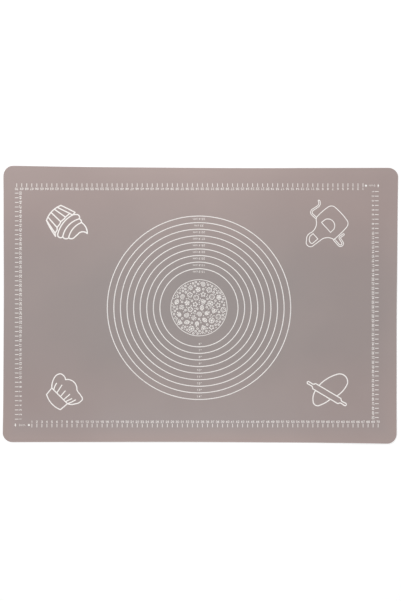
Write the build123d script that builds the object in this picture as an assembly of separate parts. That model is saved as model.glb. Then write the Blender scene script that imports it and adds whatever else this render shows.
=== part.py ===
from build123d import *
import math
import os

# A silicone pastry and baking mat, lying flat: one sheet, and the white marks printed on its top face.
# Lengths are in millimetres and angles in degrees, counter-clockwise. The origin is the middle of the
# underside. X runs along the long edges, Z points up, and the ruler on the -Y edge reads upright.
# Names that end in shares hold places in a box: 0 to 1 across it, and 0 to 1 up it.

# The sheet
mat_length = 784.0
mat_width = 548.0
mat_thickness = 1.0
corner_radius = 19.0
edge_round_share = 0.35

# The print as a whole sits inside a frame, which is a little off the middle of the sheet
ink_thickness = 0.05
end_margin = 29.65
side_margin = 30.8
print_shift_x = -7.05
print_shift_y = -0.7

# The rulers: centimetre divisions along the long edges, and slightly finer ones along the short edges
long_division = 10.0
front_start = 33.7
back_start = 31.1
long_end_room = 0.8
short_division = 9.19
short_start = 16.4
short_end_room = 15.4
tick_length = 7.2
tick_width = 1.15
number_gap = 1.5
number_height = 4.8
number_digit_width = 3.0
number_letter_gap = 0.6
number_pen = 0.72

# The unit mark before the first long division: a diamond, the unit and a dot
diamond_width = 3.4
diamond_height = 7.2
diamond_from_end = 0.8
unit_mark_rise = 4.7
unit_dot_diameter = 4.2
unit_dot_gap = 6.0
unit_height = 4.0
unit_digit_width = 2.4
unit_letter_gap = 0.7
unit_pen = 0.5

# The rolling-out rings, one for each whole inch, and the sizes written beside them
rings_shift_x = 4.35
rings_shift_y = -4.9
first_ring_inches = 6
last_ring_inches = 14
first_ring_radius = 77.8
ring_line = 1.85
ring_clearance = 42.0
picture_clearance = 8.0
label_inset_share = 0.457
inch_label_shift = 0.6
label_height = 4.0
label_digit_width = 2.75
label_letter_gap = 1.05
label_pen = 0.6
centimetres_per_inch = 2.54

# The round print in the middle: doodles that each fill a circle of one size, with rings and dots between
medallion_gap = 21.1
medallion_line = 1.3
motif_radius = 5.7
motif_gap = 1.4
motif_rim_gap = 0.7
motif_pen = 1.1
small_ring_radius = 2.2
dot_radius = 1.05
seed_spacing_share = 0.647
filler_step_share = 0.5

# The corner pictures: each one's size between the middles of its outer lines, the pen that drew it,
# how far its middle is from the frame's short and long edges, and how far it is turned
cupcake_width = 61.4
cupcake_height = 81.1
cupcake_pen = 2.5
cupcake_from_end = 102.7
cupcake_from_side = 84.2
cupcake_turn = -135.0

apron_width = 97.0
apron_height = 93.0
apron_pen = 1.65
apron_tie_width = 4.7
apron_tie_slit = 1.6
apron_from_end = 109.0
apron_from_side = 92.1
apron_turn = 132.5

hat_width = 72.0
hat_height = 63.0
hat_pen = 2.2
hat_from_end = 95.9
hat_from_side = 68.6
hat_turn = -45.0

pin_width = 93.0
pin_height = 80.5
pin_pen = 2.2
pin_from_end = 98.9
pin_from_side = 74.8
pin_turn = -30.6

# Worked out from the sizes above
edge_round = edge_round_share * mat_thickness
frame_half_x = mat_length / 2 - end_margin
frame_half_y = mat_width / 2 - side_margin
ruler_depth = tick_length + number_gap + number_height
long_room = 2 * frame_half_x - max(front_start, back_start) - long_end_room
long_count = int(long_room / long_division) + 1
short_count = int((2 * frame_half_y - short_start - short_end_room) / short_division) + 1
medallion_radius = first_ring_radius - medallion_gap

# The print's own place: its middle, on the sheet's top face
print_place = Pos(print_shift_x, print_shift_y, mat_thickness)
rings_place = print_place * Pos(rings_shift_x, rings_shift_y)
turned_round = Rot(0, 0, 180)


# Drawing with a round pen
# A line's steps start at a point. Each next step is a point that the pen runs straight to, or a pair
# of points, where the pen runs in an arc through the first to the second.

def pen_path(steps_shares, width, height):
    """The middle line of one pen stroke, in a box of this size round the origin."""

    def place(share):
        return Vector((share[0] - 0.5) * width, (share[1] - 0.5) * height)

    edges = []
    here = place(steps_shares[0])
    for step in steps_shares[1:]:
        if isinstance(step[0], tuple):
            through, there = place(step[0]), place(step[1])
            edges.append(Edge.make_three_point_arc(here, through, there))
        else:
            there = place(step)
            edges.append(Edge.make_line(here, there))
        here = there
    return Wire(edges)


def face_inside(loop):
    """The flat face inside a closed line, facing up whichever way the line runs."""
    face = Face(loop)
    return face if face.normal_at().Z > 0 else -face


def stroke(path, pen):
    """The face that a round pen leaves along a path."""
    outside = face_inside(path.offset_2d(pen / 2, kind=Kind.ARC))
    if path.is_closed:
        return outside - face_inside(path.offset_2d(-pen / 2, kind=Kind.ARC))
    return outside


def drawn(lines_shares, width, height, pen):
    """All the strokes of a figure, joined where they meet."""
    figure = Sketch()
    for steps_shares in lines_shares:
        figure += stroke(pen_path(steps_shares, width, height), pen)
    return figure


def printed(figure):
    """A flat figure as a layer of ink, standing on the plane z = 0."""
    return extrude(figure, ink_thickness)


# Numerals and letters: the width as a share of a digit's width, and the strokes
glyph_shares = {
    "0": (1.0, [[(0, 0.26), ((0.5, 0), (1, 0.26)), (1, 0.74), ((0.5, 1), (0, 0.74)), (0, 0.26)]]),
    "1": (1.0, [[(0.2, 0.78), (0.62, 1), (0.62, 0)]]),
    "2": (1.0, [[(0, 0.74), ((0.5, 1), (0.97, 0.7)), ((0.86, 0.52), (0.6, 0.34)), (0, 0), (1, 0)]]),
    "3": (1.0, [[(0.04, 0.84), ((0.5, 1), (0.95, 0.76)), ((0.78, 0.58), (0.4, 0.53))],
                [(0.4, 0.53), ((0.84, 0.45), (1, 0.27)), ((0.5, 0), (0, 0.18))]]),
    "4": (1.0, [[(0.74, 0), (0.74, 1), (0, 0.3)], [(0, 0.3), (1, 0.3)]]),
    "5": (1.0, [[(0.92, 1), (0.14, 1), (0.06, 0.52), ((0.55, 0.62), (1, 0.3)), ((0.5, 0), (0, 0.16))]]),
    "6": (1.0, [[(0, 0.3), ((0.5, 0), (1, 0.3)), ((0.5, 0.6), (0, 0.3))],
                [(0, 0.3), ((0.2, 0.8), (0.9, 0.92))]]),
    "7": (1.0, [[(0, 1), (1, 1), ((0.55, 0.5), (0.36, 0))]]),
    "8": (1.0, [[(0.08, 0.77), ((0.5, 1), (0.92, 0.77)), ((0.5, 0.53), (0.08, 0.77))],
                [(0, 0.27), ((0.5, 0), (1, 0.27)), ((0.5, 0.56), (0, 0.27))]]),
    "9": (1.0, [[(1, 0.7), ((0.5, 1), (0, 0.7)), ((0.5, 0.4), (1, 0.7))],
                [(1, 0.7), ((0.8, 0.2), (0.1, 0.08))]]),
    "c": (1.0, [[(0.9, 0.6), ((0.3, 0.66), (0, 0.35)), ((0.3, 0.04), (0.9, 0.1))]]),
    "m": (1.9, [[(0, 0), (0, 0.7)],
                [(0, 0.45), ((0.25, 0.7), (0.5, 0.45)), (0.5, 0)],
                [(0.5, 0.45), ((0.75, 0.7), (1, 0.45)), (1, 0)]]),
    '"': (0.7, [[(0.1, 1), (0.1, 0.7)], [(0.9, 1), (0.9, 0.7)]]),
    ".": (0.3, [[(0.5, 0), (0.5, 0.06)]]),
    " ": (0.15, []),
    "_": (1.0, []),
}


class Lettering:
    """Numbers and units in one size, with each character drawn once and then copied."""

    def __init__(self, height, digit_width, letter_gap, pen):
        self.letter_gap = letter_gap
        self.widths = {}
        self.inks = {}
        for character, (width_share, lines_shares) in glyph_shares.items():
            width = width_share * digit_width
            self.widths[character] = width
            if lines_shares:
                box_width = max(width - pen, 0)
                self.inks[character] = printed(drawn(lines_shares, box_width, height - pen, pen))

    def write(self, words):
        """The solids of a short text, its middle at the origin."""
        length = sum(self.widths[c] for c in words) + (len(words) - 1) * self.letter_gap
        solids = []
        x = -length / 2
        for character in words:
            width = self.widths[character]
            if character in self.inks:
                solids += (Pos(x + width / 2, 0) * self.inks[character]).solids()
            x += width + self.letter_gap
        return solids


numbers = Lettering(number_height, number_digit_width, number_letter_gap, number_pen)
labels = Lettering(label_height, label_digit_width, label_letter_gap, label_pen)
units = Lettering(unit_height, unit_digit_width, unit_letter_gap, unit_pen)


def moved(place, solids):
    return [place * solid for solid in solids]


def save(name, solids):
    """One node, which may be a group of separate solids."""
    export_step(Compound(solids), f"parts/{name}.step")


def sheet():
    """The silicone sheet, with its corners and both its rims rounded."""
    body = extrude(RectangleRounded(mat_length, mat_width, corner_radius), mat_thickness)
    rims = body.edges().filter_by(lambda edge: abs(edge.tangent_at(0).Z) < 0.5)
    return [fillet(rims, edge_round)]


# A ruler runs along its own +X from the frame's corner. Its ticks start at the frame's edge, and inward
# is +1 where its own +Y points to the middle of the mat, or -1 where that points away from it.

def ruler_ticks(count, start, division, inward):
    tick = printed(Rectangle(tick_width, tick_length))
    return [Pos(start + n * division, inward * tick_length / 2) * tick for n in range(count)]


def ruler_numbers(count, start, division, inward):
    y = inward * (tick_length + number_gap + number_height / 2)
    solids = []
    for n in range(count):
        solids += moved(Pos(start + n * division, y), numbers.write(str(n + 1)))
    return solids


def unit_mark(start):
    """Diamond, unit and dot, before the first division of a long ruler."""
    diamond_x = diamond_from_end
    dot_x = start - unit_dot_gap
    half_width = diamond_width / 2
    half_height = diamond_height / 2
    corners = [(half_width, 0), (0, half_height), (-half_width, 0), (0, -half_height)]
    solids = [Pos(diamond_x, unit_mark_rise) * printed(make_face(Polyline(*corners, close=True)))]
    solids += moved(Pos((diamond_x + dot_x) / 2, unit_mark_rise), units.write("0 cm"))
    solids.append(Pos(dot_x, unit_mark_rise) * printed(Circle(unit_dot_diameter / 2)))
    return solids


def ring(radius, line):
    """A printed circle, its radius to the middle of the line."""
    return printed(Circle(radius + line / 2) - Circle(radius - line / 2))


# The doodles of the round print, each in a square box

def on_circle(radius_share, angle):
    """A place in a square box, as a share of its half width from the middle."""
    x = 0.5 + 0.5 * radius_share * math.cos(math.radians(angle))
    y = 0.5 + 0.5 * radius_share * math.sin(math.radians(angle))
    return (x, y)


def circle_shares(radius_share):
    quarters_shares = [on_circle(radius_share, angle) for angle in (0, 90, 180, 270)]
    right, top, left, bottom = quarters_shares
    return [right, (top, left), (bottom, right)]


def dot_shares(radius_share, angle):
    """A pen dot: a stroke only long enough to have a direction."""
    return [on_circle(radius_share - 0.04, angle), on_circle(radius_share + 0.04, angle)]


def leaf_shares(side_share):
    """Two arcs that meet at the tips, a stalk, and veins that run out to the arcs."""
    lines_shares = [[(0.5, 0), (0.5, 1)]]
    bulge_share = 0.5 - side_share
    arc_share = (0.25 + bulge_share ** 2) / (2 * bulge_share)
    for side in (-1, 1):
        lines_shares.append([(0.5, 0), ((0.5 + side * bulge_share, 0.5), (0.5, 1))])
        for foot_share, end_share in ((0.2, 0.42), (0.52, 0.74)):
            reach_share = math.sqrt(arc_share ** 2 - (end_share - 0.5) ** 2) - arc_share + bulge_share
            lines_shares.append([(0.5, foot_share), (0.5 + side * reach_share, end_share)])
    return lines_shares


def star_shares(points, inner_share):
    turn = 360 / points
    steps_shares = []
    for n in range(points):
        steps_shares.append(on_circle(1, 90 + n * turn))
        steps_shares.append(on_circle(inner_share, 90 + (n + 0.5) * turn))
    return [steps_shares + steps_shares[:1]]


def heart_shares(size_share):
    """One heart, as a left and a right stroke."""
    lines_shares = []
    for side in (-1, 1):
        half_shares = [(0, -0.44), (side * 0.44, 0.08), (side * 0.25, 0.43), (0, 0.24)]
        tip, edge, top, notch = [(0.5 + size_share * x, 0.5 + size_share * y) for x, y in half_shares]
        lines_shares.append([tip, edge, (top, notch)])
    return lines_shares


def flower_shares(petals, eye_share):
    turn = 360 / petals
    lines_shares = [dot_shares(0, 0)]
    for n in range(petals):
        start = on_circle(eye_share, 90 + n * turn)
        tip = on_circle(1, 90 + (n + 0.5) * turn)
        lines_shares.append([start, (tip, on_circle(eye_share, 90 + (n + 1) * turn))])
    return lines_shares


def swirl_shares(turns, inner_share):
    """A rolled bun: half circles that grow steadily."""
    halves = 2 * turns
    growth_share = (1 - inner_share) / halves
    steps_shares = [on_circle(inner_share, 0)]
    for n in range(halves):
        middle = on_circle(inner_share + (n + 0.5) * growth_share, 90 + 180 * n)
        end = on_circle(inner_share + (n + 1) * growth_share, 180 * (n + 1))
        steps_shares.append((middle, end))
    return [steps_shares]


def wheat_shares(pairs):
    """A stalk with pairs of grains and one at its tip."""
    lines_shares = [[(0.5, 0), (0.5, 0.74)], [(0.5, 0.74), ((0.42, 0.87), (0.5, 1))],
                    [(0.5, 0.74), ((0.58, 0.87), (0.5, 1))]]
    for n in range(pairs):
        foot_share = 0.1 + 0.64 * n / pairs
        for side in (-1, 1):
            lines_shares.append([(0.5, foot_share), ((0.5 + side * 0.24, foot_share + 0.05),
                                                     (0.5 + side * 0.32, foot_share + 0.22))])
    return lines_shares


def biscuit_shares(holes):
    turn = 360 / holes
    return [circle_shares(0.94)] + [dot_shares(0.46, n * turn) for n in range(holes)]


def slice_shares(segments):
    """A slice of fruit: its rind and the walls between its segments."""
    turn = 360 / segments
    return [circle_shares(1)] + [[(0.5, 0.5), on_circle(1, n * turn)] for n in range(segments)]


def snowflake_shares(arms):
    turn = 360 / arms
    lines_shares = []
    for n in range(arms):
        lines_shares.append([(0.5, 0.5), on_circle(1, n * turn)])
        for side in (-1, 1):
            lines_shares.append([on_circle(0.5, n * turn), on_circle(0.86, n * turn + side * turn / 3)])
    return lines_shares


def wave_shares(y_share, half_share):
    """A wavy line in three arcs, this far out to each side."""
    step_share = half_share / 3
    bow_share = 0.08
    steps_shares = [(0.5 - half_share, y_share)]
    for n in range(3):
        x_share = 0.5 - half_share + (2 * n + 1) * step_share
        bow_share = -bow_share
        steps_shares.append(((x_share, y_share + bow_share), (x_share + step_share, y_share)))
    return steps_shares


motif_shares = [
    leaf_shares(0.16),
    star_shares(5, 0.5),
    swirl_shares(2, 0.12),
    heart_shares(1) + heart_shares(0.42),
    flower_shares(5, 0.5),
    wheat_shares(3),
    biscuit_shares(4),
    [wave_shares(0.2, 0.36), wave_shares(0.5, 0.48), wave_shares(0.8, 0.36)],
    slice_shares(5),
    snowflake_shares(5),
]


def seeds(reach, spacing):
    """Places laid out like the seeds of a sunflower, as distances and angles from the middle."""
    golden_angle = 180 * (3 - math.sqrt(5))
    count = int((reach / spacing) ** 2 + 0.5)
    return [(spacing * math.sqrt(n + 0.5), n * golden_angle) for n in range(count)]


def medallion_motifs():
    """The doodles, each turned its own way, then small rings and dots wherever one still fits."""
    rim = medallion_radius - medallion_line - motif_rim_gap
    box = 2 * motif_radius - motif_pen
    motifs = [printed(drawn(lines_shares, box, box, motif_pen)) for lines_shares in motif_shares]
    taken = []
    solids = []

    def put(ink, ink_radius, distance, angle):
        solids.extend((Rot(0, 0, angle) * Pos(distance, 0) * Rot(0, 0, angle) * ink).solids())
        taken.append((distance, math.radians(angle), ink_radius))

    def fits(ink_radius, distance, angle):
        x = distance * math.cos(math.radians(angle))
        y = distance * math.sin(math.radians(angle))
        for other_distance, other_angle, other_radius in taken:
            gap_x = x - other_distance * math.cos(other_angle)
            gap_y = y - other_distance * math.sin(other_angle)
            if math.hypot(gap_x, gap_y) < ink_radius + other_radius + motif_gap:
                return False
        return True

    spacing = seed_spacing_share * (2 * motif_radius + motif_gap)
    for n, (distance, angle) in enumerate(seeds(rim - motif_radius, spacing)):
        put(motifs[n % len(motifs)], motif_radius, distance, angle)
    fillers = [(ring(small_ring_radius - motif_pen / 2, motif_pen), small_ring_radius),
               (printed(Circle(dot_radius)), dot_radius)]
    for ink, ink_radius in fillers:
        for distance, angle in seeds(rim - ink_radius, filler_step_share * ink_radius):
            if fits(ink_radius, distance, angle):
                put(ink, ink_radius, distance, angle)
    return solids


# The corner pictures, each in its own upright box

cupcake_shares = [
    # the pleated case, with its rim
    [(0, 0.418), (0.164, 0.054), ((0.505, 0), (0.84, 0.063)), ((0.937, 0.28), (1, 0.497))],
    [(0, 0.418), (0.12, 0.424), (0.145, 0.348), (0.33, 0.334), (0.385, 0.345), (0.545, 0.333),
     (0.61, 0.356), (0.76, 0.37), (0.815, 0.415), (0.936, 0.435), (1, 0.497)],
    [(0.29, 0.031), (0.145, 0.348)],
    [(0.401, 0.019), (0.33, 0.334)],
    [(0.553, 0.012), (0.545, 0.333)],
    [(0.733, 0.039), (0.76, 0.37)],
    [(0.84, 0.063), (0.936, 0.435)],
    # three tiers of icing, the top one drawn out to a tip
    [(0.114, 0.424), ((0.56, 0.402), (0.91, 0.503)), ((0.941, 0.572), (0.845, 0.63))],
    [(0.845, 0.63), ((0.425, 0.532), (0.046, 0.607)), ((-0.006, 0.566), (-0.012, 0.512)),
     ((0.043, 0.462), (0.114, 0.424))],
    [(0.046, 0.607), ((0.047, 0.661), (0.088, 0.708)), ((0.088, 0.846), (0.207, 1)),
     ((0.28, 0.883), (0.435, 0.848)), (0.602, 0.843), ((0.695, 0.812), (0.732, 0.75))],
    [(0.088, 0.708), ((0.41, 0.667), (0.732, 0.75)), ((0.831, 0.706), (0.845, 0.63))],
]

apron_shares = [
    # skirt, armholes and neck strap in one outline
    [(0.787, 0.443), ((0.795, 0.27), (0.78, 0.1)), ((0.756, 0.045), (0.697, 0.004)),
     ((0.5, -0.01), (0.3, 0.005)), ((0.25, 0.04), (0.221, 0.1)), ((0.206, 0.29), (0.211, 0.49)),
     ((0.323, 0.555), (0.384, 0.69)), (0.405, 0.925), ((0.482, 0.99), (0.575, 0.93)),
     ((0.632, 0.86), (0.628, 0.742)), ((0.653, 0.588), (0.753, 0.484)), (0.787, 0.443)],
    # neck opening
    [(0.588, 0.731), (0.442, 0.731), (0.446, 0.865), ((0.461, 0.897), (0.494, 0.904)),
     ((0.534, 0.889), (0.568, 0.853)), ((0.586, 0.827), (0.59, 0.795)), (0.588, 0.731)],
    # pocket
    [(0.64, 0.437), (0.364, 0.437), (0.366, 0.34), ((0.504, 0.237), (0.632, 0.328)), (0.64, 0.437)],
]

apron_tie_shares = [
    [(0.794, 0.457), (0.881, 0.465), ((0.941, 0.441), (0.949, 0.371)), (0.935, 0.28),
     ((0.949, 0.2), (1.002, 0.164))],
    [(0.196, 0.487), (0.075, 0.487), ((0.013, 0.445), (0.048, 0.394)), (0.135, 0.381),
     ((0.154, 0.367), (0.16, 0.338)), (0.152, 0.262)],
]

hat_shares = [
    # the band
    [(0.183, 0.357), (0.206, 0.098), ((0.479, 0.006), (0.774, 0.065)), (0.795, 0.357), (0.183, 0.357)],
    # three puffs
    [(0.183, 0.357), ((0.078, 0.51), (0.027, 0.67)), ((0.032, 0.79), (0.077, 0.873)),
     ((0.18, 0.9), (0.288, 0.852))],
    [(0.288, 0.852), ((0.505, 0.986), (0.707, 0.88)), ((0.77, 0.858), (0.85, 0.851)), (0.935, 0.83),
     ((1, 0.79), (1.01, 0.71)), ((0.998, 0.62), (0.95, 0.53)), ((0.89, 0.428), (0.795, 0.357))],
    # pleats
    [(0.26, 0.357), ((0.212, 0.455), (0.184, 0.57))],
    [(0.378, 0.357), (0.324, 0.644)],
    [(0.518, 0.357), (0.503, 0.59)],
    [(0.643, 0.357), (0.659, 0.616)],
    [(0.718, 0.357), (0.782, 0.567)],
    [(0.795, 0.357), ((0.843, 0.48), (0.879, 0.622))],
]

pin_shares = [
    # the pin: barrel, shoulders and handles in one outline
    [(0.188, 0.466), (0.815, 0.466), (0.842, 0.428), (0.866, 0.417), (0.955, 0.424),
     ((0.984, 0.392), (0.955, 0.36)), (0.866, 0.367), (0.842, 0.356), (0.812, 0.318),
     (0.188, 0.318), (0.158, 0.356), (0.134, 0.367), (0.048, 0.361), ((0.017, 0.392), (0.048, 0.423)),
     (0.134, 0.417), (0.158, 0.428), (0.188, 0.466)],
    # the sheet of dough, above and below the pin
    [(0.268, 0.466), ((0.357, 0.739), (0.474, 0.923)), ((0.641, 0.999), (0.773, 0.862)),
     ((0.774, 0.702), (0.711, 0.466))],
    [(0.26, 0.318), ((0.275, 0.174), (0.332, 0.057)), ((0.408, 0.002), (0.502, 0.062)),
     ((0.579, 0.191), (0.627, 0.318))],
]


def apron_figure():
    ties = drawn(apron_tie_shares, apron_width, apron_height, apron_tie_width)
    slits = drawn(apron_tie_shares, apron_width, apron_height, apron_tie_slit)
    return drawn(apron_shares, apron_width, apron_height, apron_pen) + (ties - slits)


# Each picture: its figure, its size, its distances from the frame's edges, the corner and the turn
pictures = {
    "cupcake_picture": (drawn(cupcake_shares, cupcake_width, cupcake_height, cupcake_pen),
                        cupcake_width, cupcake_height, cupcake_from_end, cupcake_from_side,
                        -1, 1, cupcake_turn),
    "apron_picture": (apron_figure(),
                      apron_width, apron_height, apron_from_end, apron_from_side, 1, 1, apron_turn),
    "chef_hat_picture": (drawn(hat_shares, hat_width, hat_height, hat_pen),
                         hat_width, hat_height, hat_from_end, hat_from_side, -1, -1, hat_turn),
    "rolling_pin_picture": (drawn(pin_shares, pin_width, pin_height, pin_pen),
                            pin_width, pin_height, pin_from_end, pin_from_side, 1, -1, pin_turn),
}


def picture_middle(from_end, from_side, x_side, y_side):
    return x_side * (frame_half_x - from_end), y_side * (frame_half_y - from_side)


def ring_radii():
    """Evenly spaced radii, the last as large as stays clear of the rulers and the pictures."""
    room = [frame_half_x - ruler_depth - ring_clearance - abs(rings_shift_x),
            frame_half_y - ruler_depth - ring_clearance - abs(rings_shift_y)]
    for figure, width, height, from_end, from_side, x_side, y_side, turn in pictures.values():
        x, y = picture_middle(from_end, from_side, x_side, y_side)
        distance = math.hypot(x - rings_shift_x, y - rings_shift_y)
        room.append(distance - math.hypot(width, height) / 2 - picture_clearance)
    steps = last_ring_inches - first_ring_inches
    step = (min(room) - first_ring_radius) / steps
    return [first_ring_radius + n * step for n in range(steps + 1)]


os.makedirs("parts", exist_ok=True)

save("mat_sheet", sheet())

front_place = print_place * Pos(-frame_half_x, -frame_half_y)
left_place = front_place * Rot(0, 0, 90)
back_place = print_place * turned_round * Pos(-frame_half_x, -frame_half_y)
right_place = back_place * Rot(0, 0, 90)

for side, place, start in (("front", front_place, front_start), ("back", back_place, back_start)):
    save(f"ruler_ticks_{side}", moved(place, ruler_ticks(long_count, start, long_division, 1)))
    save(f"ruler_numbers_{side}", moved(place, ruler_numbers(long_count, start, long_division, 1)))
    save(f"unit_mark_{side}", moved(place, unit_mark(start)))

short_ticks = ruler_ticks(short_count, short_start, short_division, -1)
short_numbers = ruler_numbers(short_count, short_start, short_division, -1)
for side, place in (("left", left_place), ("right", right_place)):
    save(f"ruler_ticks_{side}", moved(place, short_ticks))
    save(f"ruler_numbers_{side}", moved(place, short_numbers))

# The inch sizes end at one place and read from the front, the centimetre sizes read from the back
inch_labels = []
centimetre_labels = []
radii = ring_radii()
label_inset = label_inset_share * (radii[1] - radii[0])
for n, radius in enumerate(radii):
    inches = first_ring_inches + n
    save(f"ring_{inches}_inch", [rings_place * ring(radius, ring_line)])
    label_y = radius - label_inset
    inch_words = labels.write(f'{inches:_>2}"')
    inch_labels += moved(rings_place * Pos(inch_label_shift, -label_y), inch_words)
    centimetres = f"{inches * centimetres_per_inch:.1f}".removesuffix(".0")
    centimetre_words = labels.write(centimetres + " cm")
    centimetre_labels += moved(rings_place * Pos(0, label_y) * turned_round, centimetre_words)
save("ring_labels_inch", inch_labels)
save("ring_labels_cm", centimetre_labels)

save("medallion_outline", [rings_place * ring(medallion_radius - medallion_line / 2, medallion_line)])
save("medallion_pattern", moved(rings_place, medallion_motifs()))

for name, (figure, width, height, from_end, from_side, x_side, y_side, turn) in pictures.items():
    x, y = picture_middle(from_end, from_side, x_side, y_side)
    save(name, moved(print_place * Pos(x, y) * Rot(0, 0, turn), printed(figure).solids()))

print("long divisions", long_count, "short divisions", short_count)
print("rings", [round(radius, 1) for radius in radii])
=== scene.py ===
# %% [markdown]
# # A silicone baking mat, lying on a white table
#
# The real thing is one sheet of grey silicone rubber, a millimetre thick, with white silicone ink
# printed on it: a ruler along each edge, rings for rolling out dough, a round doodle in the middle and a
# small picture in each corner. The engineering model holds the sheet and every mark in its true place.
# This script loads it and gives each piece the shape and the finish that the eye expects: a sheet that
# rests a little unevenly, and ink that follows it.

# %% Load the engineering model
import math
import bmesh
import bpy
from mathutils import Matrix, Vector, noise
from mathutils.geometry import delaunay_2d_cdt


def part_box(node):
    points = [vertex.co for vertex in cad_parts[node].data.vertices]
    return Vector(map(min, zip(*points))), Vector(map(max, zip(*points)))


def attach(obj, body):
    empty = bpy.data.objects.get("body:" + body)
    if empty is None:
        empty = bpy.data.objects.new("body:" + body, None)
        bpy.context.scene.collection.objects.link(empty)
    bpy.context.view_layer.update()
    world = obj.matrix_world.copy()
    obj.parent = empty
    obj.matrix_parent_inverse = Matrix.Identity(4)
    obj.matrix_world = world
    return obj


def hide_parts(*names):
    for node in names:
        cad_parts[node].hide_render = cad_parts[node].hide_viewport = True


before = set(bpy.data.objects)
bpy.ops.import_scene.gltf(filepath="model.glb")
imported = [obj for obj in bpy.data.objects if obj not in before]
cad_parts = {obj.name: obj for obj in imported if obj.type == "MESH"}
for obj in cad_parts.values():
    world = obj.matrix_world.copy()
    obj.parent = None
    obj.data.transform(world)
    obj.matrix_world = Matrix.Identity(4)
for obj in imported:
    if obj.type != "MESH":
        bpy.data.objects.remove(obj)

scene = bpy.context.scene
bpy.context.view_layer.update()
mm = 0.001

# %% [markdown]
# ## Helpers
#
# Colours are written as the hex values a paint program shows. Blender computes with linear light, so one
# function turns them. Node trees are built in code, and one function adds a node with its settings: a
# value given for an input is either another node's output, which is linked, or a plain value.

# %% Helpers for colours and nodes
def linear(hex_colour):
    """An sRGB colour such as '9e9290' as linear red, green, blue and alpha."""
    channels = [int(hex_colour[i:i + 2], 16) / 255 for i in (0, 2, 4)]
    return [c / 12.92 if c <= 0.04045 else ((c + 0.055) / 1.055) ** 2.4 for c in channels] + [1.0]


def add(tree, kind, inputs=None, **settings):
    """Adds one node to a tree, with its settings, and links or sets its inputs."""
    node = tree.nodes.new(kind)
    for name, value in settings.items():
        setattr(node, name, value)
    for name, value in (inputs or {}).items():
        if isinstance(value, bpy.types.NodeSocket):
            tree.links.new(value, node.inputs[name])
        else:
            node.inputs[name].default_value = value
    return node


print("mid grey", [round(c, 3) for c in linear("808080")])

# %% [markdown]
# ## The camera
#
# The photograph looks straight down, and the mat fills its width. The rulers give the scale: 70
# centimetres span 351.1 pixels, so one pixel is 1.994 mm. A long lens from three metres keeps the view
# nearly flat. The photograph's frame is taller than it is wide, so the lens is worked out on the height.

# %% The camera
photo_width, photo_height = 401, 601
pixel = 1.99374 * mm
camera_distance = 3.0
mat_middle_in_photo = (200.32, 304.97)
sensor_height = 36
view_depth = 50

lens = bpy.data.cameras.new("lens")
lens.sensor_fit = "VERTICAL"
lens.sensor_height = sensor_height
lens.lens = sensor_height * camera_distance / (photo_height * pixel)
lens.clip_end = view_depth
camera = bpy.data.objects.new("camera", lens)
camera.location = ((photo_width / 2 - mat_middle_in_photo[0]) * pixel,
                   (mat_middle_in_photo[1] - photo_height / 2) * pixel, camera_distance)
scene.collection.objects.link(camera)
scene.camera = camera
print("lens", round(lens.lens, 1), "mm, camera above", [round(c, 4) for c in camera.location])

# %% [markdown]
# ## Table and light
#
# The mat was photographed on pure white with next to no shadow, under large soft lights. The world gives
# an even light from all sides, one big panel up to the left adds the gentle fall-off across the mat, and
# a weaker one on the right softens it. Camera, glossy and transmission rays see the world at plain white.
# The table is a white surface that takes shadows like any other, and for the camera it also glows a
# little, just enough to reach white where nothing shades it. Further out, where the lamps no longer
# reach, it glows more, and so it runs into the white room without a horizon.

# %% World and lamps
room_strength = 0.585
world = bpy.data.worlds.new("studio")
world.use_nodes = True
scene.world = world
tree = world.node_tree
tree.nodes.clear()
rays = add(tree, "ShaderNodeLightPath")
camera_or_gloss = add(tree, "ShaderNodeMath", {0: rays.outputs["Is Camera Ray"],
                                               1: rays.outputs["Is Glossy Ray"]}, operation="MAXIMUM")
seen = add(tree, "ShaderNodeMath", {0: camera_or_gloss.outputs[0],
                                    1: rays.outputs["Is Transmission Ray"]}, operation="MAXIMUM")
room = add(tree, "ShaderNodeBackground", {"Color": linear("ffffff"), "Strength": room_strength})
white = add(tree, "ShaderNodeBackground", {"Color": linear("ffffff"), "Strength": 1.0})
mixed = add(tree, "ShaderNodeMixShader", {0: seen.outputs[0], 1: room.outputs[0], 2: white.outputs[0]})
add(tree, "ShaderNodeOutputWorld", {"Surface": mixed.outputs[0]})


def soft_panel(name, place, size, power):
    """A square studio lamp that faces the middle of the mat."""
    lamp = bpy.data.lights.new(name, "AREA")
    lamp.shape = "SQUARE"
    lamp.size = size
    lamp.energy = power
    holder = bpy.data.objects.new(name, lamp)
    holder.location = place
    holder.rotation_euler = Vector(place).to_track_quat("Z", "Y").to_euler()
    scene.collection.objects.link(holder)


soft_panel("main_panel", place=(-1.1, 1.1, 2.1), size=1.6, power=24.1)
soft_panel("fill_panel", place=(1.7, -0.4, 2.2), size=2.0, power=9.6)
scene.view_settings.view_transform = "Standard"
print("world strength", room_strength)

# %% The white table
# how far the lamps light the table fully, where it has become the white room, and its glow near the mat
lit_radius, room_radius, near_glow = 0.7, 2.4, 0.23

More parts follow.
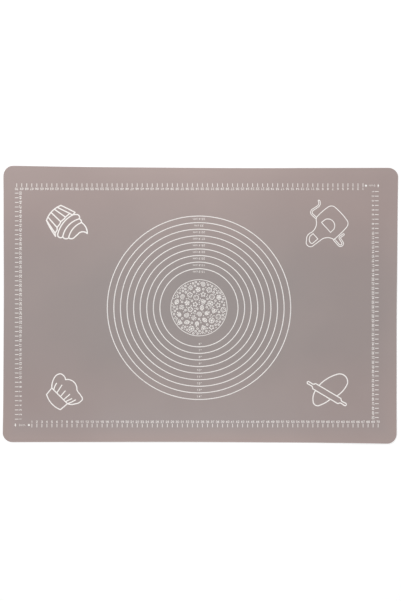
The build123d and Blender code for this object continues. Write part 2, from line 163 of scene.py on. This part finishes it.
table_tone = bpy.data.materials.new("white_lacquered_table")
table_tone.use_nodes = True
tree = table_tone.node_tree
tree.nodes.clear()
rays = add(tree, "ShaderNodeLightPath")
on_table = add(tree, "ShaderNodeTexCoord").outputs["Object"]
from_middle = add(tree, "ShaderNodeVectorMath", {0: on_table}, operation="LENGTH")
backdrop = add(tree, "ShaderNodeMapRange", {"Value": from_middle.outputs["Value"],
                                            "From Min": lit_radius, "From Max": room_radius,
                                            "To Min": near_glow, "To Max": 1.0},
               interpolation_type="SMOOTHSTEP")
glow = add(tree, "ShaderNodeMath", {0: rays.outputs["Is Camera Ray"], 1: backdrop.outputs[0]},
           operation="MULTIPLY")
surface = add(tree, "ShaderNodeBsdfPrincipled", {"Base Color": linear("f4f4f4"), "Roughness": 0.7,
                                                 "Emission Color": linear("ffffff"),
                                                 "Emission Strength": glow.outputs[0]})
add(tree, "ShaderNodeOutputMaterial", {"Surface": surface.outputs[0]})

reach, table_top = 6.0, -0.05 * mm
table_mesh = bpy.data.meshes.new("table")
table_mesh.from_pydata([(-reach, -reach, table_top), (reach, -reach, table_top),
                        (reach, reach, table_top), (-reach, reach, table_top)], [], [(0, 1, 2, 3)])
table_mesh.materials.append(table_tone)
table = bpy.data.objects.new("table", table_mesh)
scene.collection.objects.link(table)
print("table", 2 * reach, "m square")

# %% [markdown]
# ## How the sheet lies
#
# A thin rubber sheet that was stored rolled up never lies dead flat. It keeps low waves across its
# length, broad swells, and here and there its rim stands up a little. All of that is one smooth function
# of the place on the mat, so that the sheet can be made from it and everything else can be laid on it.
# Its edges wander too, by up to 3.5 mm in plane: the photograph shows the top left and bottom right
# corners a little longer than a true rectangle, and the middles of the sides drawn in.

# %% The sheet's unevenness
low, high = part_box("mat_sheet")
half_length, half_width, thickness = high.x, high.y, high.z
corner_radius = 19 * mm

# waves along the length, whose crests bend a little on their way from one long edge to the other
wave_length, wave_height = 310 * mm, 0.35 * mm
crest_bend, bend_length = 1.1, 800 * mm

# broad swells and lifted stretches of the rim: how high, how close together, and where in the noise
swell_height, swells_per_metre, swell_slice = 0.5 * mm, 3.1, 4.2
curl_height, curls_per_metre, curl_slice = 1.5 * mm, 5.3, 9.7
curl_reach, curl_gain = 40 * mm, 0.15

# how far each side stands outside the true rectangle, at its start, middle and end along +X or +Y
wander_mm = {"top": (3.5, -0.9, -0.5), "bottom": (-0.45, -1.05, 2.4),
             "left": (1.95, -0.35, 0.65), "right": (-0.65, -0.6, 2.5)}

# a slight ripple in each side, and the power that keeps all wandering close to the edge
ripple_mm, ripple_rate, edge_power = 0.15, 7.3, 12


def from_edge(x, y):
    """The distance from the true rectangle's nearest edge, inwards."""
    return max(min(half_length - abs(x), half_width - abs(y)), 0.0)


def lift(x, y):
    """How far the underside stands off the table at a place."""
    bend = crest_bend * math.sin(math.tau * y / bend_length)
    wave = 0.5 + 0.5 * math.sin(math.tau * x / wave_length + bend)
    swell = 0.5 + 0.5 * noise.noise(Vector((x * swells_per_metre, y * swells_per_metre, swell_slice)))
    curl_noise = noise.noise(Vector((x * curls_per_metre, y * curls_per_metre, curl_slice)))
    curl = max(curl_noise + curl_gain, 0.0)
    near_rim = math.exp(-from_edge(x, y) / curl_reach)
    return wave_height * wave * swell + swell_height * swell * swell + curl_height * curl * near_rim


def side_offset(name, t):
    """A smooth curve through a side's three wanderings, for t from -1 to 1 along it."""
    start, middle, end = wander_mm[name]
    ripple = ripple_mm * math.sin(ripple_rate * t + len(name))
    return (middle + 0.5 * (end - start) * t + (0.5 * (start + end) - middle) * t * t + ripple) * mm


def wandered(point):
    """An outline point of the true rectangle, moved to where the cut edge really runs."""
    u, v = point.x / half_length, point.y / half_width
    across = side_offset("right", v) if u > 0 else -side_offset("left", v)
    along = side_offset("top", u) if v > 0 else -side_offset("bottom", u)
    return Vector((point.x + across * abs(u) ** edge_power, point.y + along * abs(v) ** edge_power))


places = [k / 20 for k in range(-20, 21)]
heights = [lift(u * half_length, v * half_width) / mm for u in places for v in places]
print("the sheet stands", round(min(heights), 2), "to", round(max(heights), 2), "mm off the table")

# %% [markdown]
# ## The sheet
#
# The outline is a rounded rectangle. It could be a plane with Solidify and Bevel, but the rim of a
# moulded sheet is round and only a third of a millimetre in radius, and a bevel on a curved sheet gives
# uneven faces. So the rim is built as loops round the outline, each one a little further in and down,
# and the flat of the sheet is filled with even triangles, once for the printed side and once for the
# back. Each point then takes its height from the function above, and keeps its distance from the edge
# as an attribute, which the material reads.

# %% Outline and loops
edge_round = 0.35 * mm
rim_strip = 0.4 * mm
rim_spacing = 4 * mm
corner_steps = 12

corners = []
for side_x, side_y, first_angle in ((1, 1, 0), (-1, 1, 90), (-1, -1, 180), (1, -1, 270)):
    middle = Vector((side_x * (half_length - corner_radius), side_y * (half_width - corner_radius)))
    for n in range(corner_steps + 1):
        angle = math.radians(first_angle + 90 * n / corner_steps)
        corners.append(middle + corner_radius * Vector((math.cos(angle), math.sin(angle))))

outline = []
for n, point in enumerate(corners):
    following = corners[(n + 1) % len(corners)]
    pieces = max(1, round((following - point).length / rim_spacing))
    outline += [wandered(point.lerp(following, k / pieces)) for k in range(pieces)]

outwards = []
for n, point in enumerate(outline):
    run = outline[(n + 1) % len(outline)] - outline[n - 1]
    outwards.append(Vector((run.y, -run.x)).normalized())

# each loop: how far in from the edge, and how far below the printed face
loops = [(edge_round + rim_strip, 0.0)]
for degrees in (0, 30, 60, 90):
    turn = math.radians(degrees)
    loops.append((edge_round * (1 - math.sin(turn)), edge_round * (1 - math.cos(turn))))
loops += [(inset, thickness - drop) for inset, drop in reversed(loops)]
print(len(outline), "points round the edge,", len(loops), "loops over the rim")

# %% Fill the sheet
fill_spacing = 5 * mm
clear_of_rim = 4.5 * mm
inside_only = 1
same_place = 1e-7

ring_size = len(outline)
boundary = [p - d * loops[0][0] for p, d in zip(outline, outwards)]
inside = []
row_height = fill_spacing * math.sqrt(3) / 2
for row in range(int(2 * half_width / row_height)):
    y = -half_width + (row + 0.5) * row_height
    for column in range(int(2 * half_length / fill_spacing)):
        x = -half_length + (column + 0.25 + 0.5 * (row % 2)) * fill_spacing
        corner_x = max(abs(x) - half_length + corner_radius, 0)
        corner_y = max(abs(y) - half_width + corner_radius, 0)
        from_corner = corner_radius - math.hypot(corner_x, corner_y)
        if from_edge(x, y) > clear_of_rim and from_corner > clear_of_rim:
            inside.append(Vector((x, y)))

edges = [(n, (n + 1) % ring_size) for n in range(ring_size)]
flat, _, triangles, sources, _, _ = delaunay_2d_cdt(boundary + inside, edges, [], inside_only, same_place)
place_of = {source: n for n, found in enumerate(sources) for source in found}
count = len(flat)

points = [(p.x, p.y, thickness + lift(p.x, p.y)) for p in flat]
points += [(p.x, p.y, lift(p.x, p.y)) for p in flat]
faces = [tuple(t) for t in triangles] + [tuple(count + n for n in reversed(t)) for t in triangles]

rings = [[place_of[n] for n in range(ring_size)]]
for inset, drop in loops[1:-1]:
    first = len(points)
    for p, d in zip(outline, outwards):
        at = p - d * inset
        points.append((at.x, at.y, thickness - drop + lift(at.x, at.y)))
    rings.append(list(range(first, first + ring_size)))
rings.append([count + place_of[n] for n in range(ring_size)])
for upper, lower in zip(rings, rings[1:]):
    for n in range(ring_size):
        m = (n + 1) % ring_size
        faces.append((upper[m], upper[n], lower[n], lower[m]))

sheet_mesh = bpy.data.meshes.new("silicone_sheet")
sheet_mesh.from_pydata(points, [], faces)
sheet_mesh.shade_smooth()
rim = sheet_mesh.attributes.new("from_edge", "FLOAT", "POINT")
rim.data.foreach_set("value", [from_edge(x, y) for x, y, z in points])
sheet = bpy.data.objects.new("silicone_sheet", sheet_mesh)
scene.collection.objects.link(sheet)

check = bmesh.new()
check.from_mesh(sheet_mesh)
print("sheet:", len(points), "points,", len(faces), "faces, volume", round(check.calc_volume() * 1e6, 1),
      "cm3, open edges", sum(1 for e in check.edges if not e.is_manifold))
check.free()

# %% [markdown]
# ## Silicone
#
# The sheet is platinum-cured silicone rubber with a grey pigment, pressed between smooth platens. That
# gives the eye a soft, dry, slightly greasy satin, never a mirror, because the platens leave a very fine
# grain. The grey is not even: it turns a little warmer towards the sheet's four sides, and it is faintly
# cloudy everywhere. It is also painted paler along the middle of the two long edges and at the very rim:
# that is painted sheen, the brightness of the soft lamps painted into the colour. So a first mix warms
# the grey and a second one lays on the painted sheen, to a cooler tone on the near side, and each has its
# own map of the sheet. Silicone's index of refraction is 1.41. The grain of the platens is about 0.3 mm,
# too fine for this view, so it is drawn at 0.8 mm.

# %% The silicone's material
# how far in from the rim the painted sheen reaches, how much warmer the ends get, and how much less
# painted sheen the ends of the long edges get
rim_fade = 45 * mm
warm_at_ends = 0.45
less_painted_sheen_at_ends = -0.56

silicone = bpy.data.materials.new("pressed_silicone_rubber")
silicone.use_nodes = True
tree = silicone.node_tree
tree.nodes.clear()
where = add(tree, "ShaderNodeTexCoord").outputs["Object"]
xyz = add(tree, "ShaderNodeSeparateXYZ", {"Vector": where})
edge_distance = add(tree, "ShaderNodeAttribute", attribute_name="from_edge")

# painted sheen: the grey is painted up to 0.17 paler within rim_fade of the rim
near_rim = add(tree, "ShaderNodeMapRange", {"Value": edge_distance.outputs["Fac"], "From Min": 0.0,
                                            "From Max": rim_fade, "To Min": 0.17, "To Max": 0.0},
               interpolation_type="SMOOTHSTEP")
# masks of the far and near long edges, used for the warming and for the painted sheen along those edges
far_edge = add(tree, "ShaderNodeMapRange", {"Value": xyz.outputs["Y"], "From Min": 20 * mm,
                                            "From Max": 290 * mm, "To Min": 0.0, "To Max": 0.81},
               interpolation_type="SMOOTHSTEP")
near_edge = add(tree, "ShaderNodeMapRange", {"Value": xyz.outputs["Y"], "From Min": -60 * mm,
                                             "From Max": -290 * mm, "To Min": 0.0, "To Max": 0.84},
                interpolation_type="SMOOTHSTEP")
sideways = add(tree, "ShaderNodeMath", {0: xyz.outputs["X"]}, operation="ABSOLUTE")
ends = add(tree, "ShaderNodeMapRange", {"Value": sideways.outputs[0], "From Min": 60 * mm,
                                        "From Max": 330 * mm}, interpolation_type="SMOOTHSTEP")
both_edges = add(tree, "ShaderNodeMath", {0: far_edge.outputs[0], 1: near_edge.outputs[0]},
                 operation="ADD")

warm_ends = add(tree, "ShaderNodeMath", {0: ends.outputs[0], 1: warm_at_ends, 2: both_edges.outputs[0]},
                operation="MULTIPLY_ADD", use_clamp=True)
warmth = add(tree, "ShaderNodeMix", {"Factor": warm_ends.outputs[0]}, data_type="RGBA")
warmth.inputs[6].default_value = linear("9a918f")
warmth.inputs[7].default_value = linear("9f8f8c")

clouds = add(tree, "ShaderNodeTexNoise", {"Vector": where, "Scale": 1 / (140 * mm), "Detail": 3.0,
                                          "Roughness": 0.5})
cloud_shift = add(tree, "ShaderNodeMapRange", {"Value": clouds.outputs["Fac"], "From Min": 0.3,
                                               "From Max": 0.7, "To Min": -0.12, "To Max": 0.14})
# painted sheen: paler along the long edges, less so at the ends, plus the painted sheen at the rim, plus
# random clouds
middle_share = add(tree, "ShaderNodeMath", {0: ends.outputs[0], 1: less_painted_sheen_at_ends, 2: 1.0},
                   operation="MULTIPLY_ADD")
over_length = add(tree, "ShaderNodeMath", {0: both_edges.outputs[0], 1: middle_share.outputs[0],
                                           2: near_rim.outputs[0]}, operation="MULTIPLY_ADD")
painted_sheen_and_clouds = add(tree, "ShaderNodeMath", {0: over_length.outputs[0], 1: cloud_shift.outputs[0]},
               operation="ADD", use_clamp=True)
off_rim = add(tree, "ShaderNodeMapRange", {"Value": edge_distance.outputs["Fac"], "From Max": rim_fade},
              interpolation_type="SMOOTHSTEP")
near_side = add(tree, "ShaderNodeMath", {0: near_edge.outputs[0], 1: off_rim.outputs[0]},
                operation="MULTIPLY")
# the colour of the painted sheen: a cooler tone on the near side, away from the rim
painted_sheen_colour = add(tree, "ShaderNodeMix", {"Factor": near_side.outputs[0]}, data_type="RGBA")
painted_sheen_colour.inputs[6].default_value = linear("b1a09c")
painted_sheen_colour.inputs[7].default_value = linear("a79f9e")
# the sheet's grey with the painted sheen and the clouds laid on it
grey_with_painted_sheen = add(tree, "ShaderNodeMix", {"Factor": painted_sheen_and_clouds.outputs[0], 6: warmth.outputs[2],
                                      7: painted_sheen_colour.outputs[2]}, data_type="RGBA")

wipes = add(tree, "ShaderNodeTexNoise", {"Vector": where, "Scale": 1 / (35 * mm), "Detail": 4.0})
dryness = add(tree, "ShaderNodeMapRange", {"Value": wipes.outputs["Fac"], "From Min": 0.3,
                                           "From Max": 0.7, "To Min": 0.46, "To Max": 0.56})
grain = add(tree, "ShaderNodeTexNoise", {"Vector": where, "Scale": 1 / (0.8 * mm), "Detail": 2.0})
relief = add(tree, "ShaderNodeBump", {"Strength": 0.25, "Distance": 0.02 * mm,
                                      "Height": grain.outputs["Fac"]})
body = add(tree, "ShaderNodeBsdfPrincipled", {"Base Color": grey_with_painted_sheen.outputs[2],
                                              "Roughness": dryness.outputs[0],
                                              "IOR": 1.41, "Normal": relief.outputs[0]})
add(tree, "ShaderNodeOutputMaterial", {"Surface": body.outputs[0]})
sheet_mesh.materials.append(silicone)
print("silicone:", len(tree.nodes), "nodes")

# %% [markdown]
# ## Ink
#
# The marks are white silicone ink, pushed through a screen and cured on the sheet. It dries matte, a
# touch warm, about 0.05 mm thick, and it is not quite even: the screen leaves it a little thinner here
# and there, so the grey shows through very slightly. The screen's mesh is about 0.1 mm, too fine to
# show, so its relief is drawn at 0.5 mm.

# %% The ink's material
ink = bpy.data.materials.new("screen_printed_silicone_ink")
ink.use_nodes = True
tree = ink.node_tree
tree.nodes.clear()
where = add(tree, "ShaderNodeTexCoord").outputs["Object"]
cover = add(tree, "ShaderNodeTexNoise", {"Vector": where, "Scale": 1 / (22 * mm), "Detail": 5.0,
                                         "Roughness": 0.6})
thinness = add(tree, "ShaderNodeMapRange", {"Value": cover.outputs["Fac"], "From Min": 0.4,
                                            "From Max": 0.75, "To Min": 0.0, "To Max": 0.6})
white_mix = add(tree, "ShaderNodeMix", {"Factor": thinness.outputs[0]}, data_type="RGBA")
white_mix.inputs[6].default_value = linear("fbf7f4")
white_mix.inputs[7].default_value = linear("eee8e4")
screen = add(tree, "ShaderNodeTexNoise", {"Vector": where, "Scale": 1 / (0.5 * mm), "Detail": 1.0})
relief = add(tree, "ShaderNodeBump", {"Strength": 0.2, "Distance": 0.01 * mm,
                                      "Height": screen.outputs["Fac"]})
body = add(tree, "ShaderNodeBsdfPrincipled", {"Base Color": white_mix.outputs[2], "Roughness": 0.62,
                                              "IOR": 1.43, "Normal": relief.outputs[0]})
add(tree, "ShaderNodeOutputMaterial", {"Surface": body.outputs[0]})
print("ink:", len(tree.nodes), "nodes")

# %% [markdown]
# ## Laying print on the sheet
#
# Every mark has to follow the sheet's waves exactly, or it would float or sink. So one small Geometry
# Nodes tree does that for all of them: from each point of the ink it looks straight down with Raycast,
# finds the sheet, and puts the point as far above the sheet as it was above zero. The trees that make
# ticks and rings end in this tree, and marks that are copied from the engineering model go through it
# alone.

# %% The laying tree
def new_tree(name, sizes):
    """A Geometry Nodes tree with a mesh going in and out, and these named inputs."""
    made = bpy.data.node_groups.new(name, "GeometryNodeTree")
    made.interface.new_socket("Geometry", in_out="OUTPUT", socket_type="NodeSocketGeometry")
    made.interface.new_socket("Geometry", in_out="INPUT", socket_type="NodeSocketGeometry")
    for label, kind in sizes.items():
        made.interface.new_socket(label, in_out="INPUT", socket_type="NodeSocket" + kind)
    return made


look_from, look_down = 0.05, 0.1
laying = new_tree("Lay on the sheet", {"Sheet": "Object", "Ink": "Material"})
given = add(laying, "NodeGroupInput").outputs
position = add(laying, "GeometryNodeInputPosition")
apart = add(laying, "ShaderNodeSeparateXYZ", {"Vector": position.outputs[0]})
over = add(laying, "ShaderNodeCombineXYZ", {"X": apart.outputs["X"], "Y": apart.outputs["Y"],
                                            "Z": look_from})
below = add(laying, "GeometryNodeObjectInfo", {"Object": given["Sheet"]}, transform_space="RELATIVE")
drop = add(laying, "GeometryNodeRaycast", {"Target Geometry": below.outputs["Geometry"],
                                           "Source Position": over.outputs[0],
                                           "Ray Direction": (0, 0, -1), "Ray Length": look_down})
found = add(laying, "ShaderNodeSeparateXYZ", {"Vector": drop.outputs["Hit Position"]})
height = add(laying, "ShaderNodeMath", {0: found.outputs["Z"], 1: apart.outputs["Z"]}, operation="ADD")
new_place = add(laying, "ShaderNodeCombineXYZ", {"X": apart.outputs["X"], "Y": apart.outputs["Y"],
                                                 "Z": height.outputs[0]})
laid = add(laying, "GeometryNodeSetPosition", {"Geometry": given["Geometry"],
                                               "Position": new_place.outputs[0]})
whole = add(laying, "GeometryNodeRealizeInstances", {"Geometry": laid.outputs[0]})
inked = add(laying, "GeometryNodeSetMaterial", {"Geometry": whole.outputs[0], "Material": given["Ink"]})
add(laying, "NodeGroupOutput", {"Geometry": inked.outputs[0]})
print("laying tree:", len(laying.nodes), "nodes")


def grow(name, made, values, start=None, stands_for=None):
    """Runs a tree with these inputs, keeps the result as a plain mesh, and puts it in a mark's place."""
    maker = bpy.data.objects.new("maker", start or bpy.data.meshes.new("nothing"))
    scene.collection.objects.link(maker)
    modifier = maker.modifiers.new("tree", "NODES")
    modifier.node_group = made
    values = {**values, "Sheet": sheet, "Ink": ink}
    for item in made.interface.items_tree:
        if item.in_out == "INPUT" and item.name in values:
            modifier[item.identifier] = values[item.name]
    depsgraph = bpy.context.evaluated_depsgraph_get()
    result = bpy.data.meshes.new_from_object(maker.evaluated_get(depsgraph), depsgraph=depsgraph)
    bpy.data.objects.remove(maker)
    result.name = name
    piece = bpy.data.objects.new(name, result)
    scene.collection.objects.link(piece)
    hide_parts(stands_for)
    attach(piece, "root")
    return piece


# %% [markdown]
# ## Ticks
#
# A ruler is one tick repeated at an even step. A Mesh Line gives the places, and one tick, a filled
# rectangle with slightly rounded corners that is extruded to the ink's thickness, is instanced on them.
# The engineering model says where they are: the box of a ruler's ticks gives the first and the last
# place, and its length over one division gives the count.

# %% The tick tree
merge_distance = 0.001 * mm
ticking = new_tree("Ticks of a ruler", {"Count": "Int", "First": "Vector", "Step": "Vector",
                                        "Across": "Float", "Up": "Float", "Corner": "Float",
                                        "Thickness": "Float", "Sheet": "Object", "Ink": "Material"})
given = add(ticking, "NodeGroupInput").outputs
box_line = add(ticking, "GeometryNodeCurvePrimitiveQuadrilateral", {"Width": given["Across"],
                                                                    "Height": given["Up"]})
soft_line = add(ticking, "GeometryNodeFilletCurve", {"Curve": box_line.outputs[0], "Count": 2,
                                                     "Radius": given["Corner"], "Limit Radius": True},
                mode="POLY")
flat_tick = add(ticking, "GeometryNodeFillCurve", {"Curve": soft_line.outputs[0]}, mode="NGONS")
rise = add(ticking, "ShaderNodeCombineXYZ", {"Z": given["Thickness"]})
raised = add(ticking, "GeometryNodeExtrudeMesh", {"Mesh": flat_tick.outputs[0],
                                                  "Offset": rise.outputs[0], "Offset Scale": 1.0,
                                                  "Individual": False}, mode="FACES")
under = add(ticking, "GeometryNodeFlipFaces", {"Mesh": flat_tick.outputs[0]})
both = add(ticking, "GeometryNodeJoinGeometry")
ticking.links.new(raised.outputs["Mesh"], both.inputs[0])
ticking.links.new(under.outputs[0], both.inputs[0])
tick = add(ticking, "GeometryNodeMergeByDistance", {"Geometry": both.outputs[0],
                                                    "Distance": merge_distance})
spots = add(ticking, "GeometryNodeMeshLine", {"Count": given["Count"], "Start Location": given["First"],
                                              "Offset": given["Step"]}, mode="OFFSET")
ticks = add(ticking, "GeometryNodeInstanceOnPoints", {"Points": spots.outputs[0],
                                                      "Instance": tick.outputs[0]})
single = add(ticking, "GeometryNodeRealizeInstances", {"Geometry": ticks.outputs[0]})
on_sheet = add(ticking, "GeometryNodeGroup", {"Geometry": single.outputs[0], "Sheet": given["Sheet"],
                                              "Ink": given["Ink"]}, node_tree=laying)
add(ticking, "NodeGroupOutput", {"Geometry": on_sheet.outputs[0]})

# %% Ticks along the four rulers
ink_thickness = 0.05 * mm
tick_width, tick_length, tick_corner = 1.15 * mm, 7.2 * mm, 0.2 * mm
long_division, short_division = 10 * mm, 9.19 * mm
for side in ("front", "back", "left", "right"):
    low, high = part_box("ruler_ticks_" + side)
    middle = (low + high) / 2
    if side in ("front", "back"):
        across, up, division = tick_width, tick_length, long_division
        first, step = Vector((low.x + across / 2, middle.y, 0)), Vector((division, 0, 0))
        span = high.x - low.x - across
    else:
        across, up, division = tick_length, tick_width, short_division
        first, step = Vector((middle.x, low.y + up / 2, 0)), Vector((0, division, 0))
        span = high.y - low.y - up
    tick_count = round(span / division) + 1
    piece = grow("ticks_" + side, ticking, {"Count": tick_count, "First": first, "Step": step,
                                            "Across": across, "Up": up, "Corner": tick_corner,
                                            "Thickness": ink_thickness},
                 stands_for="ruler_ticks_" + side)
    print(piece.name, tick_count, "ticks,", len(piece.data.polygons), "faces")

# %% [markdown]
# ## Rings
#
# A ring is a circle with a flat rectangular profile, and that is exactly what Curve to Mesh makes. The
# nine rolling-out rings and the border of the round doodle differ only in radius and line width.

# %% The ring tree
ringing = new_tree("Printed ring", {"Radius": "Float", "Line": "Float", "Thickness": "Float",
                                    "Middle": "Vector", "Sides": "Int", "Sheet": "Object",
                                    "Ink": "Material"})
given = add(ringing, "NodeGroupInput").outputs
path = add(ringing, "GeometryNodeCurvePrimitiveCircle", {"Resolution": given["Sides"],
                                                         "Radius": given["Radius"]})
profile = add(ringing, "GeometryNodeCurvePrimitiveQuadrilateral", {"Width": given["Line"],
                                                                   "Height": given["Thickness"]})
band = add(ringing, "GeometryNodeCurveToMesh", {"Curve": path.outputs[0],
                                                "Profile Curve": profile.outputs[0]})
half_rise = add(ringing, "ShaderNodeMath", {0: given["Thickness"], 1: 0.5}, operation="MULTIPLY")
half_up = add(ringing, "ShaderNodeCombineXYZ", {"Z": half_rise.outputs[0]})
centre = add(ringing, "ShaderNodeVectorMath", {0: given["Middle"], 1: half_up.outputs[0]},
             operation="ADD")
placed = add(ringing, "GeometryNodeTransform", {"Geometry": band.outputs[0],
                                                "Translation": centre.outputs[0]})
on_sheet = add(ringing, "GeometryNodeGroup", {"Geometry": placed.outputs[0], "Sheet": given["Sheet"],
                                              "Ink": given["Ink"]}, node_tree=laying)
add(ringing, "NodeGroupOutput", {"Geometry": on_sheet.outputs[0]})

# %% The rings
ring_line, border_line, ring_sides = 1.85 * mm, 1.3 * mm, 240
first_ring, last_ring = 6, 14
ring_nodes = [f"ring_{inches}_inch" for inches in range(first_ring, last_ring + 1)]
for node in ring_nodes + ["medallion_outline"]:
    low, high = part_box(node)
    line = border_line if node == "medallion_outline" else ring_line
    radius = (high.x - low.x - line) / 2
    middle = Vector(((low.x + high.x) / 2, (low.y + high.y) / 2, 0))
    piece = grow("printed_" + node, ringing, {"Radius": radius, "Line": line, "Thickness": ink_thickness,
                                              "Middle": middle, "Sides": ring_sides}, stands_for=node)
    print(piece.name, "radius", round(radius / mm, 1), "mm, box",
          [round(side / mm, 2) for side in piece.dimensions])

# %% [markdown]
# ## Numbers, labels, doodle and pictures
#
# These have no rule to follow: they were drawn. The engineering model already has their strokes, so each
# is copied, its loose triangles are merged, and it goes through the laying tree. Two things are mended
# on the way. The small characters and the doodles have more facets than any view can show, so their
# nearly straight runs are dissolved. The large pictures have long thin triangles that would cut through
# a wave, so edges over 6 mm are split.

# %% Copy and lay the drawn marks
longest_edge = 6 * mm


def plain_copy(node, dissolve):
    """A merged copy of a mark's mesh with its underside at zero, ready to be laid."""
    work = bmesh.new()
    work.from_mesh(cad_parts[node].data)
    bmesh.ops.remove_doubles(work, verts=work.verts, dist=merge_distance)
    for vertex in work.verts:
        vertex.co.z -= thickness
    if dissolve:
        bmesh.ops.dissolve_limit(work, angle_limit=math.radians(dissolve), verts=work.verts,
                                 edges=work.edges)
    bmesh.ops.triangulate(work, faces=work.faces)
    while long_edges := [edge for edge in work.edges if edge.calc_length() > longest_edge]:
        bmesh.ops.subdivide_edges(work, edges=long_edges, cuts=1)
        bmesh.ops.triangulate(work, faces=work.faces)
    mesh = bpy.data.meshes.new(node)
    work.to_mesh(mesh)
    work.free()
    return mesh


# the marks of each kind, and the bend in degrees up to which a run counts as straight
drawn_marks = {
    12: ["ruler_numbers_front", "ruler_numbers_back", "ruler_numbers_left", "ruler_numbers_right",
         "unit_mark_front", "unit_mark_back", "ring_labels_inch", "ring_labels_cm"],
    6: ["medallion_pattern"],
    0: ["cupcake_picture", "apron_picture", "chef_hat_picture", "rolling_pin_picture"]}
for node, dissolve in [(node, bend) for bend, nodes in drawn_marks.items() for node in nodes]:
    piece = grow("printed_" + node, laying, {}, start=plain_copy(node, dissolve), stands_for=node)
    print(piece.name, len(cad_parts[node].data.polygons), "->", len(piece.data.polygons), "faces")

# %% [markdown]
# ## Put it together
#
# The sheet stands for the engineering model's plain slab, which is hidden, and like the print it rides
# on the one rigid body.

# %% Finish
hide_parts("mat_sheet")
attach(sheet, "root")
